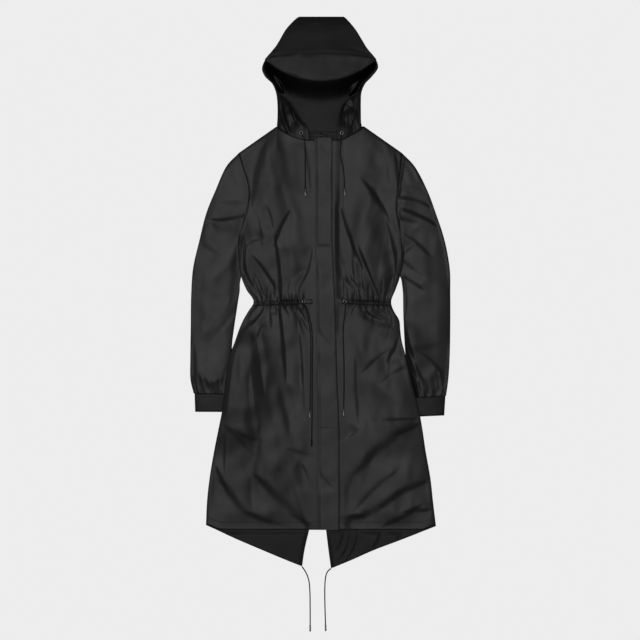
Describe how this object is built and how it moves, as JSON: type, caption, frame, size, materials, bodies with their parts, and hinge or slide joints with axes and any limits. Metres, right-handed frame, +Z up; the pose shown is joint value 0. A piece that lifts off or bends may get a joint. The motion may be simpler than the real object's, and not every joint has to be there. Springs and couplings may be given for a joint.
{
  "type": "parka",
  "caption": "Hooded rain parka laid flat, with a drawcord waist, storm flap, gathered cuffs and a split, pointed back hem with cord ends.",
  "frame": {"origin": "Middle of the coat's width and length, on the surface that it lies on; the free cord ends are not counted.", "axes": "+X to the right as seen from above, +Y toward the hood, +Z up from the surface, out of the coat's front."},
  "size_m": [0.6525, 1.5368, 0.056],
  "materials": {
    "rubberised_cloth": "satin, smooth coated face",
    "cord": "matte braid",
    "eyelet_metal": "polished",
    "tip_metal": "satin"
  },
  "bodies": {
    "root": {"back_left": "rubberised_cloth", "back_right": "rubberised_cloth", "front_left": "rubberised_cloth", "front_right": "rubberised_cloth", "front_flap": "rubberised_cloth", "front_flap_lower": "rubberised_cloth", "waist_tunnel_left": "rubberised_cloth", "waist_tunnel_right": "rubberised_cloth", "sleeve_left": "rubberised_cloth", "sleeve_right": "rubberised_cloth", "cuff_left": "rubberised_cloth", "cuff_right": "rubberised_cloth", "hood_centre": "rubberised_cloth", "hood_side_left": "rubberised_cloth", "hood_side_right": "rubberised_cloth", "hood_brim": "rubberised_cloth", "hanger_loop": "rubberised_cloth", "hood_eyelet_left": "eyelet_metal", "hood_eyelet_right": "eyelet_metal", "waist_eyelet_left": "eyelet_metal", "waist_eyelet_right": "eyelet_metal", "hood_cord_left": "cord", "hood_cord_right": "cord", "waist_cord_left": "cord", "waist_cord_second": "cord", "waist_cord_right": "cord", "tail_cord_left": "cord", "tail_cord_right": "cord", "hood_tip_left": "tip_metal", "hood_tip_right": "tip_metal", "waist_tip_left": "tip_metal", "waist_tip_second": "tip_metal", "waist_tip_right": "tip_metal", "tail_tip_left": "tip_metal", "tail_tip_right": "tip_metal"}
  },
  "joints": []
}
